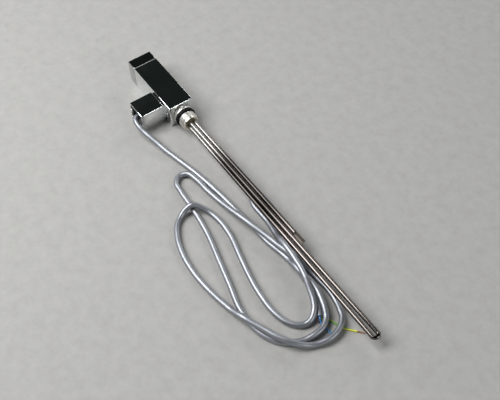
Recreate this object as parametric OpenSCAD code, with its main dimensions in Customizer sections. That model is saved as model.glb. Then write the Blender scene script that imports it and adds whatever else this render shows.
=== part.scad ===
// Screw-in electric heating element with a square chrome control head,
// a side cable outlet, a twin heater tube, a sensor tube and a flexible mains cable.
// Units are millimetres. The head's underside is at z = 0 and centred on the origin.
// The element's axis runs along +X at half the head's height.

/* [Head] */
// Overall length of the head with its end cap
head_len = 116; // [80:1:160]
// Width and height of the square head
head_w = 38; // [30:1:60]
// Wall of the chrome shell
shell_wall = 2; // [1:0.5:4]
// Rounding of the head's long edges
edge_r = 1.7; // [0.5:0.1:4]
// Length of the black end cap
cap_len = 18; // [8:1:40]
// Width of the seam ring between shell and cap
seam_w = 0.6; // [0.3:0.1:2]

/* [Cable outlet] */
// Width of the outlet sleeve along the head
sleeve_w = 33; // [20:1:40]
// Height of the outlet sleeve
sleeve_h = 34; // [20:1:36]
// How far the sleeve's mouth stands out from the head's side
sleeve_out = 39; // [15:1:60]
// Distance from the head's front face to the sleeve's near side
sleeve_back = 13.5; // [5:0.5:50]
// Length of the narrower neck between head and sleeve
neck_len = 2.5; // [1:0.5:8]

/* [Screw-in nipple] */
// Major radius of the parallel pipe thread
thread_r = 13.2205; // [11:0.1:20]
// Length of the threaded part
thread_len = 11.5; // [6:0.5:25]
// Radius of the rubber gasket
gasket_r = 15.3; // [12:0.1:25]
// Thickness of the rubber gasket
gasket_t = 5; // [1:0.5:8]
// Radius of the collar next to the head
collar_r = 13.8; // [11:0.1:18]
// Radius of the spigot that turns inside the head
spigot_r = 11; // [8:0.1:15]
// Radial clearance between spigot and head socket
spigot_gap = 0.08; // [0.02:0.01:0.1]

/* [Tubes] */
// Radius of the heater tube
heater_r = 3.05; // [2:0.05:6]
// Wall of the heater tube
heater_wall = 0.5; // [0.3:0.1:1]
// Radius of the sensor tube
sensor_r = 3; // [2:0.05:6]
// Overall reach of the heater tube from the head's front face
reach = 439; // [200:1:800]
// Distance from the head's front face to the joint in the sensor tube
knee_reach = 192; // [60:1:400]
// Distance from the head's front face to the end of the sensor tube's round part
sensor_reach = 260; // [100:1:500]
// Length of the crimped flat beyond the round part
crimp_len = 20; // [8:1:40]
// Width of the crimped flat
crimp_w = 6.4; // [4:0.1:12]

/* [Cable] */
// Radius of the cable sheath
cable_r = 4; // [2.5:0.1:6]
// Radius of one insulated core
core_r = 1.2; // [0.8:0.1:2]

/* [Hidden] */
$fn = 48;
part_gap = 0.3;
hw = head_w / 2;
ax_z = head_w / 2;
front_x = head_len / 2;
rear_x = -head_len / 2;
shell_x0 = rear_x + cap_len;
in_w = head_w - 2 * shell_wall;
front_wall = 3;
socket_len = 21;
socket_x0 = front_x - front_wall - socket_len;
spigot_x0 = socket_x0 + 1;
groove_w = 4.4;
groove_r = spigot_r - 1.6;
set_x = front_x - 9.5;
set_r = 2;
set_hole_r = 2.08;
set_tip = groove_r + part_gap;
sl_x1 = front_x - sleeve_back;
sl_x0 = sl_x1 - sleeve_w;
sl_y0 = -hw - neck_len;
sl_y1 = -hw - sleeve_out;
sl_z0 = 1;
sl_z1 = sl_z0 + sleeve_h;
sl_wall = 2;
plate_y1 = sl_y1 + 2;
plate_y0 = plate_y1 + 7;
clamp_x0 = sl_x0 + sl_wall + 0.2;
clamp_x1 = clamp_x0 + 6.6;
clamp_y = sl_y1 - 0.5;
clamp_r = 1.5;
clamp_hole_r = 1.58;
exit_x = sl_x0 + 14.5;
exit_z = sl_z0 + sleeve_h / 2;
clamp_z = [exit_z + 7, exit_z - 8];
clamp_inset = 4;
bush_r = 5.4;
collar_x0 = front_x + part_gap;
collar_x1 = front_x + 5;
flange_x1 = collar_x1 + 2.5;
gasket_x1 = flange_x1 + gasket_t;
thread_x1 = gasket_x1 + thread_len;
rim_x1 = thread_x1 + 2;
rim_r = thread_r - 1.1;
flange_r = gasket_r + 0.2;
bore_r = 8.6;
plate_t = 4;
bend_r = 4.35;
bend_x = front_x + reach - heater_r - bend_r;
bend_y = -2.25;
leg_x0 = rim_x1 - plate_t - 22;
sen_knee = front_x + knee_reach;
sen_end = front_x + sensor_reach;
crimp_x1 = sen_end + crimp_len;
bead_back = 12;
bead_r = 1.9;
seat_r = thread_r - 0.9;
gasket_hole_r = thread_r + 0.12;
leg_a0 = [leg_x0, -1.6, 2.3];
leg_a1 = [bend_x - 0.05, bend_y + bend_r, 0];
leg_b0 = [leg_x0, -3.5, -4.1];
leg_b1 = [bend_x - 0.05, bend_y - bend_r, 0];
pin_len = 8;
pin_gap = 0.05;
wire_r = 0.6;
fill_r = heater_r - heater_wall;
sen_a0 = [leg_x0, 5.05, 1.15];
sen_mid = [sen_knee, 6.5, 2.1];
sen_tip = [sen_end, 6.7, 2.4];
joint_gap = 0.03;
pcb_t = 1.6;
cap_lip = 5;
pcb_z = shell_wall + 6;
pcb_top = pcb_z + pcb_t;
pcb_x0 = shell_x0 + cap_lip + 1;
pcb_x1 = socket_x0 - 12;
foot_len = 4;
foot_inset = 2;
switch_x0 = pcb_x0 + 6;
switch_len = 15;
fuse_x0 = switch_x0 + switch_len + 1;
fuse_len = 10;
cap_r = 4.5;
cap_x = fuse_x0 + fuse_len + 1.5 + cap_r;
plug_len = 8;
plug_x0 = pcb_x1 - 2 - plug_len;
tail_x1 = exit_x - 17;
tail_y1 = -in_w / 2 + 4;
tail_pitch = 3;
tail_side = 2.6;
tail_z = pcb_z + 6;
block_len = 9;
lead_r = 2.6;
lead_hole_r = lead_r + 0.6;

// Sheath of the mains cable, from inside the outlet to its cut end
cable_pts = [
    [26, -44, 18], [26, -54, 18], [27, -58, 18], [30, -61.5, 17.5], [36, -63, 17], [44, -63, 15.5],
    [53, -61.5, 13], [64, -59, 11], [79, -55, 8], [93, -52, 6], [108, -48, 4.5], [121, -45, 4],
    [148, -39, 4], [180, -34, 4], [210, -30.5, 4], [243.3, -28.1, 4], [265.2, -25.7, 4],
    [285.9, -25, 4], [306, -23.3, 4], [321.5, -20.3, 4], [332.2, -18.7, 4.6], [342.7, -18.5, 6.2],
    [347.8, -19.2, 8], [352.7, -19.1, 10.4], [358, -19.4, 11.6], [363, -19.6, 12.2],
    [373.7, -18.2, 12.4], [385.8, -17.2, 12.4], [398.2, -18.1, 11.8], [412.8, -21.9, 10.8],
    [425.4, -26.6, 9.3], [432.2, -30.2, 7.6], [441, -41.5, 7], [443.5, -57, 6.5], [440.5, -73, 4],
    [429, -93.5, 4], [412.5, -105, 4], [389.5, -111.5, 4], [361.5, -110.5, 4], [324, -101, 4],
    [286, -91.5, 4], [248.5, -82, 4], [217, -77, 4], [191, -74.5, 4], [165, -72.5, 4],
    [149.5, -69, 4], [143, -59.5, 4], [147, -49.5, 5.5], [162, -45, 6.5], [185.5, -42, 4],
    [212.9, -38.6, 5.5], [237, -35.3, 9.5], [255.1, -32.4, 12.5], [271.1, -29.1, 12.9],
    [286.1, -25.2, 12.2], [302.6, -21.4, 11.8], [319.9, -18, 11.8], [330.8, -15.4, 12.1],
    [341.1, -13.3, 12.3], [350.9, -11.3, 12.1], [354.8, -10.7, 11.3], [359.7, -9.1, 9.6],
    [368.7, -6.5, 5.5], [377.5, -5, 4.2], [386, -4.5, 4], [404.5, -3.5, 4], [420.5, -5.5, 4],
    [435.3, -10.4, 5.6], [444.5, -14.5, 6.5], [454.5, -27, 7], [458.5, -42, 7], [453, -65, 4.5],
    [445.5, -79, 8.5], [437.5, -87.5, 12], [424, -96.5, 13], [401.5, -106, 12.5],
    [379.5, -115, 12.5], [353, -121, 4.5], [317.5, -127, 4], [285.5, -129, 4], [249.5, -124.5, 4],
    [227, -117, 4], [207, -103.5, 4], [200.5, -93.5, 5.5], [198, -82.5, 10.5], [199.5, -75, 13],
    [207, -66, 8.5], [217, -60.5, 5], [232.5, -57, 4], [264.5, -58, 4], [294, -65, 4],
    [323, -72, 4], [358.5, -78, 4], [394.5, -78, 4], [410, -73.5, 4], [419.5, -66.5, 4],
    [424, -59.5, 4], [425.5, -52, 5.5], [418.1, -38.1, 9.8], [407.6, -31.3, 12.5],
    [395.2, -27.2, 15.5], [384.3, -23.7, 19], [376.6, -21.6, 20.6], [365.6, -18.9, 20.6],
    [352.9, -17.1, 20.6], [339, -15.3, 20.6], [331, -14.7, 20.5], [324.4, -14.1, 19.9],
    [320, -13.6, 18.8], [316, -13, 17.8], [311, -12.2, 15.3], [306.5, -11.3, 12.2], [290.3, -8, 8],
    [273.9, -5.2, 5.2], [262, -4.9, 4.5], [236, -1.8, 4], [230, 3, 4], [231, 10, 4],
    [237.5, 13.5, 4], [249, 14, 4], [275, 12, 4], [298, 8.4, 4], [312, 5.2, 4], [322, 0.8, 4],
    [330, -4.5, 4], [338, -8.4, 4], [346, -10.4, 4], [352.7, -13.5, 4], [358, -15.4, 4],
    [366, -17, 4], [376, -18.8, 4], [387, -20.2, 4], [399, -22, 4], [408, -25.2, 4],
    [416.5, -29, 4], [427, -36, 4]];

// Cores at the cut end, from the sheath's end face
earth_pts = [[427.8, -34.97, 3.3], [429.14, -35.86, 3.2], [430.8, -36.1, 2.4], [432.8, -34.6, 1.4],
    [434.4, -31, 1.2], [437, -28, 1.2], [442.6, -26, 1.2], [449.2, -23.9, 1.2], [457.6, -19, 1.2],
    [464, -14.2, 1.2], [469, -9.9, 1.2]];
blue_pts = [[427.08, -36.06, 5.45], [428.41, -36.94, 5.45], [430.1, -37.8, 4.8],
    [433, -38.8, 2.4], [436, -39.3, 1.3],
    [440, -39.2, 1.2], [448, -37.8, 1.2], [458, -37, 1.2]];
brown_pts = [[426.36, -37.14, 3.3], [427.69, -38.03, 3.25], [429.3, -39.2, 2.7], [431.4, -41.1, 1.5]];
copper_pts = [[469.1, -9.8, 1.2], [472.6, -6.8, 1], [476, -3.9, 0.9]];

// A point given from the element's axis, moved to the element's axis height
function at_axis(p) = [p[0], p[1], ax_z + p[2]];

// Straight round rod between two points
module rod(p, q, r) {
    d = q - p;
    len = norm(d);
    translate(p)
        rotate([0, acos(d[2] / len), atan2(d[1], d[0])])
            cylinder(r = r, h = len);
}

// Bar along X with a square section and rounded long edges
module soft_bar(x0, x1, w, h, r) {
    translate([x0, 0, 0])
        union() {
            translate([0, -w / 2 + r, 0])
                cube([x1 - x0, w - 2 * r, h]);
            translate([0, -w / 2, r])
                cube([x1 - x0, w, h - 2 * r]);
            for (y = [-w / 2 + r, w / 2 - r])
                for (z = [r, h - r])
                    translate([0, y, z])
                        rotate([0, 90, 0])
                            cylinder(r = r, h = x1 - x0);
        }
}

// Bar along Y with a rectangular section and rounded long edges
module outlet_bar(y0, y1, inset, r) {
    x0 = sl_x0 + inset;
    x1 = sl_x1 - inset;
    z0 = sl_z0 + inset;
    z1 = sl_z1 - inset;
    translate([x0 + r, y1, z0])
        cube([x1 - x0 - 2 * r, y0 - y1, z1 - z0]);
    translate([x0, y1, z0 + r])
        cube([x1 - x0, y0 - y1, z1 - z0 - 2 * r]);
    for (x = [x0 + r, x1 - r])
        for (z = [z0 + r, z1 - r])
            translate([x, y1, z])
                rotate([-90, 0, 0])
                    cylinder(r = r, h = y0 - y1);
}

// Cylinder along X on the element's axis
module ax_cyl(x0, x1, r) {
    translate([x0, 0, ax_z])
        rotate([0, 90, 0])
            cylinder(r = r, h = x1 - x0);
}

// Cylinder along Y between two y values
module side_cyl(x, z, y0, y1, r) {
    translate([x, y1, z])
        rotate([-90, 0, 0])
            cylinder(r = r, h = y0 - y1);
}

// Chrome shell of the head with the nipple opening, screw hole and cable opening
module head_shell() {
    color([0.75, 0.76, 0.78])
        difference() {
            soft_bar(shell_x0 + seam_w, front_x, head_w, head_w, edge_r);
            translate([shell_x0 - 1, -in_w / 2, shell_wall])
                cube([front_x - front_wall - shell_x0 + 1, in_w, in_w]);
            ax_cyl(front_x - front_wall - 1, front_x + 1, spigot_r + part_gap);
            side_cyl(set_x, ax_z, -in_w / 2 + 1, -hw - 1, set_r + 0.5);
            translate([sl_x0 + 5, -hw - 1, sl_z0 + 5])
                cube([14, shell_wall + 2, sleeve_h - 10]);
        }
}

// Thin grey ring between the shell and the end cap
module seam_ring() {
    color([0.55, 0.55, 0.56])
        difference() {
            soft_bar(shell_x0, shell_x0 + seam_w, head_w, head_w, edge_r);
            translate([shell_x0 - 1, -in_w / 2, shell_wall])
                cube([seam_w + 2, in_w, in_w]);
        }
}

// Glossy black end cap with a lip that plugs into the shell
module end_cap() {
    color([0.03, 0.03, 0.035])
        difference() {
            union() {
                soft_bar(rear_x, shell_x0, head_w, head_w, edge_r);
                translate([shell_x0 - 1, -in_w / 2, shell_wall])
                    cube([cap_lip + 1, in_w, in_w]);
            }
            translate([rear_x + 2.5, -in_w / 2 + 1.6, shell_wall + 1.6])
                cube([cap_len + cap_lip + 1, in_w - 3.2, in_w - 3.2]);
        }
}

// Plastic block inside the head's front that the nipple's spigot turns in
module socket_block() {
    color([0.22, 0.22, 0.23])
        difference() {
            translate([socket_x0, -in_w / 2, shell_wall])
                cube([socket_len, in_w, in_w]);
            ax_cyl(socket_x0 - 1, front_x, spigot_r + spigot_gap);
            side_cyl(set_x, ax_z, 0, -hw, set_hole_r);
            translate([socket_x0 - 1, -in_w / 2 - 1, sl_z0 + 5])
                cube([5, 5, sleeve_h - 10]);
        }
}

// Narrow neck between the head's side and the outlet sleeve
module outlet_neck() {
    color([0.7, 0.71, 0.73])
        difference() {
            outlet_bar(-hw, sl_y0, 1.5, 1.2);
            translate([sl_x0 + 4, sl_y0 - 1, sl_z0 + 4])
                cube([sleeve_w - 8, neck_len + 2, sleeve_h - 8]);
        }
}

// Chrome sleeve that shrouds the cable's way out
module outlet_sleeve() {
    color([0.75, 0.76, 0.78])
        difference() {
            outlet_bar(sl_y0, sl_y1, 0, 1.5);
            translate([sl_x0 + 4, sl_y0 - 3, sl_z0 + 4])
                cube([sleeve_w - 8, 4, sleeve_h - 8]);
            translate([sl_x0 + sl_wall, sl_y1 - 1, sl_z0 + sl_wall])
                cube([sleeve_w - 2 * sl_wall, sleeve_out - neck_len - 1, sleeve_h - 2 * sl_wall]);
        }
}

// Black plate that closes the sleeve's mouth and carries the cable bush
module cable_plate() {
    color([0.05, 0.05, 0.05])
        difference() {
            translate([sl_x0 + sl_wall, plate_y1, sl_z0 + sl_wall])
                cube([sleeve_w - 2 * sl_wall, plate_y0 - plate_y1, sleeve_h - 2 * sl_wall]);
            side_cyl(exit_x, exit_z, plate_y0 + 1, plate_y1 - 1, bush_r);
            for (z = clamp_z)
                side_cyl((clamp_x0 + clamp_x1) / 2, z, plate_y0 + 1, plate_y1 - 1, clamp_hole_r);
        }
}

// Rubber bush round the cable in the plate
module cable_bush() {
    color([0.07, 0.07, 0.07])
        difference() {
            union() {
                side_cyl(exit_x, exit_z, plate_y0, plate_y1 + 1, bush_r);
                side_cyl(exit_x, exit_z, plate_y0 + 2, plate_y0, bush_r + 1.5);
            }
            side_cyl(exit_x, exit_z, plate_y0 + 3, plate_y1 - 3, cable_r);
        }
}

// Raised black bar on the plate that the two clamp screws hold
module clamp_bar() {
    color([0.05, 0.05, 0.05])
        difference() {
            translate([clamp_x0, clamp_y, sl_z0 + clamp_inset])
                cube([clamp_x1 - clamp_x0, plate_y1 - clamp_y, sleeve_h - 2 * clamp_inset]);
            for (z = clamp_z)
                side_cyl((clamp_x0 + clamp_x1) / 2, z, plate_y1 + 1, clamp_y - 1, clamp_hole_r);
        }
}

// One small cross-slot screw of the cable clamp
module clamp_screw(z) {
    x = (clamp_x0 + clamp_x1) / 2;
    difference() {
        union() {
            side_cyl(x, z, plate_y0 - 0.5, clamp_y - 0.1, clamp_r);
            side_cyl(x, z, clamp_y - 0.05, clamp_y - 2.05, 2.4);
        }
        translate([x - 1.7, clamp_y - 3, z - 0.3])
            cube([3.4, 1.7, 0.6]);
        translate([x - 0.3, clamp_y - 3, z - 1.7])
            cube([0.6, 1.7, 3.4]);
    }
}

// Upper clamp screw
module clamp_screw_upper() {
    color([0.8, 0.8, 0.8])
        clamp_screw(clamp_z[0]);
}

// Lower clamp screw
module clamp_screw_lower() {
    color([0.8, 0.8, 0.8])
        clamp_screw(clamp_z[1]);
}

// Headless set screw with a hexagon socket, its tip in the spigot's groove
module set_screw() {
    color([0.8, 0.8, 0.8])
        difference() {
            side_cyl(set_x, ax_z, -set_tip, -hw + 0.3, set_r);
            translate([set_x, -hw - 1, ax_z])
                rotate([-90, 0, 0])
                    cylinder(r = 1.15, h = 3.8, $fn = 6);
        }
}

// Brass nipple: spigot, collar, flange, seat for the gasket, thread and end rim
module nipple() {
    color([0.78, 0.77, 0.72])
        difference() {
            union() {
                ax_cyl(spigot_x0, collar_x0, spigot_r);
                ax_cyl(collar_x0, collar_x1, collar_r);
                ax_cyl(collar_x1, flange_x1, flange_r);
                ax_cyl(flange_x1, gasket_x1, seat_r);
                ax_cyl(gasket_x1, thread_x1, thread_r);
                ax_cyl(thread_x1, rim_x1, rim_r);
            }
            ax_cyl(spigot_x0 - 1, rim_x1 - plate_t, bore_r);
            ax_cyl(rim_x1 - plate_t - 1, rim_x1 + 1, bore_r);
            difference() {
                ax_cyl(set_x - groove_w / 2, set_x + groove_w / 2, spigot_r + 1);
                ax_cyl(set_x - groove_w, set_x + groove_w, groove_r);
            }
            difference() {
                ax_cyl(spigot_x0 + 2, spigot_x0 + 4.4, spigot_r + 1);
                ax_cyl(spigot_x0 + 1, spigot_x0 + 5, spigot_r - 1.2);
            }
        }
}

// Black rubber gasket that seals against the radiator
module gasket() {
    color([0.03, 0.03, 0.03])
        difference() {
            ax_cyl(flange_x1, gasket_x1, gasket_r);
            ax_cyl(flange_x1 - 1, gasket_x1 + 1, gasket_hole_r);
        }
}

// Brazed disc that holds the three tubes in the nipple's end
module tube_plate() {
    color([0.72, 0.66, 0.48])
        difference() {
            ax_cyl(rim_x1 - plate_t, rim_x1, bore_r);
            heater_legs(heater_r);
            sensor_rods(sensor_r);
        }
}

// Seal ring in the spigot's rear groove
module spigot_seal() {
    color([0.08, 0.08, 0.08])
        difference() {
            ax_cyl(spigot_x0 + 2, spigot_x0 + 4.4, spigot_r - 0.22);
            ax_cyl(spigot_x0 + 1, spigot_x0 + 5, spigot_r - 1.2);
        }
}

// Potting that closes the spigot's rear end round the leads
module rear_potting() {
    color([0.85, 0.84, 0.78])
        difference() {
            ax_cyl(spigot_x0, leg_x0 - pin_len, bore_r);
            ax_cyl(spigot_x0 - 1, spigot_x0 + 5, lead_hole_r);
        }
}

// The heater's two straight legs with the given radius
module heater_legs(r) {
    rod(at_axis(leg_a0), at_axis(leg_a1), r);
    rod(at_axis(leg_b0), at_axis(leg_b1), r);
}

// The heater's return bend with the given radius
module heater_bend(r) {
    translate([bend_x, bend_y, ax_z])
        rotate([0, 0, -90])
            rotate_extrude(angle = 180)
                translate([bend_r, 0])
                    circle(r = r);
}

// Bent heater tube: two legs and the return bend
module heater_tube() {
    color([0.75, 0.74, 0.72]) {
        difference() {
            heater_legs(heater_r);
            heater_legs(fill_r);
        }
        difference() {
            heater_bend(heater_r);
            heater_bend(fill_r);
        }
    }
}

// Packed mineral filling that insulates the wire from the tube
module heater_filling() {
    color([0.92, 0.92, 0.9]) {
        difference() {
            heater_legs(fill_r);
            heater_legs(wire_r);
        }
        difference() {
            heater_bend(fill_r);
            heater_bend(wire_r);
        }
    }
}

// Resistance wire along the middle of the filling
module heater_wire() {
    color([0.45, 0.4, 0.35]) {
        heater_legs(wire_r);
        heater_bend(wire_r);
    }
}

// Connection pins at the two cold ends of the heater
module cold_pins() {
    color([0.8, 0.8, 0.78])
        for (p = [leg_a0, leg_b0])
            rod(at_axis(p - [pin_len, 0, 0]), at_axis(p - [pin_gap, 0, 0]), 0.8);
}

// Ceramic beads that seal the heater's cold ends
module pin_beads() {
    color([0.95, 0.94, 0.9])
        for (p = [leg_a0, leg_b0])
            difference() {
                rod(at_axis(p - [2.5, 0, 0]), at_axis(p - [pin_gap, 0, 0]), fill_r);
                rod(at_axis(p - [4, 0, 0]), at_axis(p + [1, 0, 0]), 0.8);
            }
}

// The sensor tube's two straight lengths with the given radius
module sensor_rods(r) {
    rod(at_axis(sen_a0), at_axis(sen_mid - [joint_gap, 0, 0]), r);
    rod(at_axis(sen_mid + [joint_gap, 0, 0]), at_axis(sen_tip), r);
}

// Thin tube for the temperature sensor beside the heater
module sensor_tube() {
    color([0.75, 0.73, 0.7])
        difference() {
            sensor_rods(sensor_r);
            sensor_rods(sensor_r - 0.4);
        }
}

// Flattened and closed end of the sensor tube
module sensor_tip() {
    color([0.25, 0.23, 0.22]) {
        p = at_axis(sen_tip);
        translate(p + [joint_gap, 0, 0])
            rotate([0, 90, 0])
                cylinder(r1 = sensor_r, r2 = sensor_r / 2, h = 6);
        translate([sen_end + 1.6, p[1] - crimp_w / 2, p[2] - 0.2])
            cube([crimp_x1 - sen_end - 1.6, crimp_w, 1.4]);
    }
}

// Temperature sensor bead near the tube's end
module sensor_bead() {
    color([0.1, 0.1, 0.1])
        translate(at_axis([sen_end - bead_back, 6.66, 2.35]))
            sphere(r = bead_r);
}

// Pair of leads that run to the sensor bead
module sensor_leads() {
    color([0.9, 0.9, 0.85])
        rod(at_axis([leg_x0 - pin_len, 5.1, 1.1]), at_axis([sen_end - bead_back - bead_r - 0.1, 6.65, 2.33]), 0.7);
}

// Plastic tray that holds the circuit board in the head
module board_carrier() {
    color([0.85, 0.85, 0.82])
        for (x = [pcb_x0 + foot_inset, pcb_x1 - foot_inset - foot_len])
            translate([x, -in_w / 2, shell_wall])
                cube([foot_len, in_w, pcb_z - shell_wall]);
}

// Circuit board of the control
module circuit_board() {
    color([0.1, 0.35, 0.15])
        translate([pcb_x0, -in_w / 2 + 0.5, pcb_z])
            cube([pcb_x1 - pcb_x0, in_w - 1, pcb_t]);
}

// Power switch that feeds the heater
module power_switch() {
    color([0.1, 0.1, 0.12])
        translate([switch_x0, -9, pcb_top])
            cube([switch_len, 12, 14]);
}

// Round supply capacitor on the board
module supply_capacitor() {
    color([0.15, 0.2, 0.45])
        translate([cap_x, in_w / 2 - cap_r - 2, pcb_top])
            cylinder(r = cap_r, h = 12);
}

// Thermal fuse across the board
module thermal_fuse() {
    color([0.85, 0.7, 0.55])
        rod([fuse_x0, 6, pcb_top + 2], [fuse_x0 + fuse_len, 6, pcb_top + 2], 2);
}

// Terminal block where the cable's cores are joined
module terminal_block() {
    color([0.2, 0.45, 0.25])
        difference() {
            translate([tail_x1 - block_len, tail_y1 - 2, pcb_top])
                cube([block_len, 10.5, 9]);
            for (i = [0 : 2])
                translate([tail_x1 - block_len / 2, tail_y1 + tail_pitch * i, pcb_top + 4])
                    cylinder(r = 1.1, h = 6);
        }
}

// Upright connector on the board that the element's leads plug into
module lead_connector() {
    color([0.88, 0.87, 0.82])
        translate([plug_x0, -plug_len / 2, pcb_top])
            cube([plug_len, plug_len, ax_z - pcb_top + lead_r + 1]);
}

// Bundle of leads from the connector into the element, on the element's axis
module lead_bundle() {
    color([0.75, 0.2, 0.15])
        ax_cyl(plug_x0 + plug_len, spigot_x0 + 4, lead_r);
}

// The cable's inner cores between the plate and the terminal block
module cable_tails() {
    color([0.2, 0.35, 0.7])
        for (i = [0 : 2])
            lead([[exit_x + tail_side * (i - 1), plate_y0 + 5.1, exit_z],
                [exit_x + tail_side * (i - 1), plate_y0 + 8, exit_z],
                [exit_x - 1 + tail_side * (i - 1), plate_y0 + 17, exit_z + 0.5],
                [exit_x - 3 + tail_side * (i - 1), sl_y0 - 0.5, exit_z],
                [exit_x - 4.6 + tail_side * (i - 1), -in_w / 2, exit_z - 1],
                [tail_x1 + 5 + 2 * i, tail_y1 - 1 + tail_pitch * i, tail_z + 1],
                [tail_x1 + 2, tail_y1 + tail_pitch * i, tail_z],
                [tail_x1 + 0.1, tail_y1 + tail_pitch * i, tail_z]], core_r, 8);
}

// Circle of points round a path, square to its direction
function unit(v) = v / norm(v);
function along(p, i) = unit(p[min(i + 1, len(p) - 1)] - p[max(i - 1, 0)]);
function across(t) = unit(cross(abs(t[2]) > 0.9 ? [1, 0, 0] : [0, 0, 1], t));
function ring_pt(c, t, r, a) = c + r * (cos(a) * across(t) + sin(a) * cross(t, across(t)));

// Flexible round lead swept along a list of points
module lead(p, r, sides) {
    n = len(p);
    pts = [for (i = [0 : n - 1]) for (k = [0 : sides - 1])
        ring_pt(p[i], along(p, i), r, (k + 0.5) * 360 / sides)];
    walls = [for (i = [0 : n - 2]) for (k = [0 : sides - 1])
        [i * sides + k, i * sides + (k + 1) % sides,
            (i + 1) * sides + (k + 1) % sides, (i + 1) * sides + k]];
    first = [[for (k = [sides - 1 : -1 : 0]) k]];
    last = [[for (k = [0 : sides - 1]) (n - 1) * sides + k]];
    polyhedron(points = pts, faces = concat(first, walls, last), convexity = 10);
}

// Grey sheath of the mains cable
module mains_cable() {
    color([0.5, 0.51, 0.54])
        lead(cable_pts, cable_r, 10);
}

// Green and yellow core at the cable's cut end
module earth_core() {
    color([0.7, 0.8, 0.1])
        lead(earth_pts, core_r, 8);
}

// Blue core at the cable's cut end
module blue_core() {
    color([0.1, 0.35, 0.8])
        lead(blue_pts, core_r, 8);
}

// Brown core, cut off short at the cable's cut end
module brown_core() {
    color([0.35, 0.2, 0.12])
        lead(brown_pts, core_r, 8);
}

// Bare copper strands at the earth core's tip
module copper_end() {
    color([0.8, 0.45, 0.25])
        lead(copper_pts, core_r - 0.3, 8);
}

head_shell();
seam_ring();
end_cap();
socket_block();
outlet_neck();
outlet_sleeve();
cable_plate();
cable_bush();
clamp_bar();
clamp_screw_upper();
clamp_screw_lower();
set_screw();
nipple();
gasket();
tube_plate();
spigot_seal();
rear_potting();
heater_tube();
heater_filling();
heater_wire();
cold_pins();
pin_beads();
sensor_tube();
sensor_tip();
sensor_bead();
sensor_leads();
board_carrier();
circuit_board();
power_switch();
supply_capacitor();
thermal_fuse();
terminal_block();
lead_connector();
lead_bundle();
cable_tails();
mains_cable();
earth_core();
blue_core();
brown_core();
copper_end();
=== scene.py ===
"""Looks of a screw-in heating element: chrome head, nipple, hairpin tube, sensor tube and grey lead."""
import math
import bmesh
import bpy
from mathutils import Matrix, Vector


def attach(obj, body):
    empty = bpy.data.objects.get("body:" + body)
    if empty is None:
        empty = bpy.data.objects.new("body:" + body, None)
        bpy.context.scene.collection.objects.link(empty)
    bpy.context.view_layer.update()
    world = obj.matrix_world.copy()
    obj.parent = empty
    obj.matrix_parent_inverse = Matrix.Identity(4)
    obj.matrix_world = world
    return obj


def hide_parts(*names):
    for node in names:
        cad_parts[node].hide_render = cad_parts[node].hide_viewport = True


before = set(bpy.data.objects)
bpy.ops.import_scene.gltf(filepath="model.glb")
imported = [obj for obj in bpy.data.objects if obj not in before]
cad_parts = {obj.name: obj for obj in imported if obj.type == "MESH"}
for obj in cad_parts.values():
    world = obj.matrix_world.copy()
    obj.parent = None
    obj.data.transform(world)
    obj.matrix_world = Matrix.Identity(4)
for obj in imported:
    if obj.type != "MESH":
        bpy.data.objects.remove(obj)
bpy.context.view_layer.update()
MM = 0.001

# Sizes in millimetres, as in the part's source
HEAD_REAR, CAP_FRONT, SHELL_REAR, HEAD_FRONT = -58.0, -40.0, -39.4, 58.0
HEAD_W = 38.0
AXIS_Z = 19.0
SLEEVE_X0, SLEEVE_X1 = 11.5, 44.5
SLEEVE_Y0, SLEEVE_Y1 = -21.5, -58.0
SLEEVE_Z0, SLEEVE_Z1 = 1.0, 35.0
SHELL_WALL = 2.0
COLLAR_X0, COLLAR_X1, FLANGE_X1, GASKET_X1, THREAD_X1, RIM_X1 = 58.3, 63.0, 65.5, 70.5, 82.0, 84.0
COLLAR_R, FLANGE_R, GASKET_R, THREAD_R, RIM_R = 13.8, 15.5, 15.3, 13.2205, 12.1205
SEAT_R, ROOT_R = THREAD_R - 0.9, THREAD_R - 1.1
GROOVE_X0, GROOVE_X1, GROOVE_R = 46.3, 50.7, 9.4
NIPPLE_SIDES, KNURL_DEPTH = 144, 0.35
THREAD_PITCH = 1.814
SPIGOT_X0, SPIGOT_R, BORE_R = 35.0, 11.0, 8.6
HEATER_R, SENSOR_R = 3.05, 3.0
BEND_X, BEND_Y, BEND_R = 489.6, -2.25, 4.35
CABLE_R, CORE_R = 4.0, 1.2
CLAMP_X, CLAMP_Z = 17.0, (25.0, 10.0)
SET_X, SET_HOLE_R = 48.5, 2.5
LEAD_X, LEAD_Z, BUSH_HOLE_R = 26, 18, 5.4
LEG_ROOT_X = 58
TIP_X0, TIP_X1, TIP_Y, TIP_Z = 317.0, 338.0, 6.7, 21.4
TIP_HALF_W, TIP_HALF_H, TIP_CONE = 3.2, 2.8, 8.0
TIP_ROOT_R, TIP_WIDENING, TIP_FLAT_HALF, TIP_RISE = 2.95, 0.27, 0.72, 0.35
SOFT_EDGE, WIDE_EDGE = 0.8, 1.4
IMAGE_PX, FOCAL_PX = 500.0, 815.7

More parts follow.
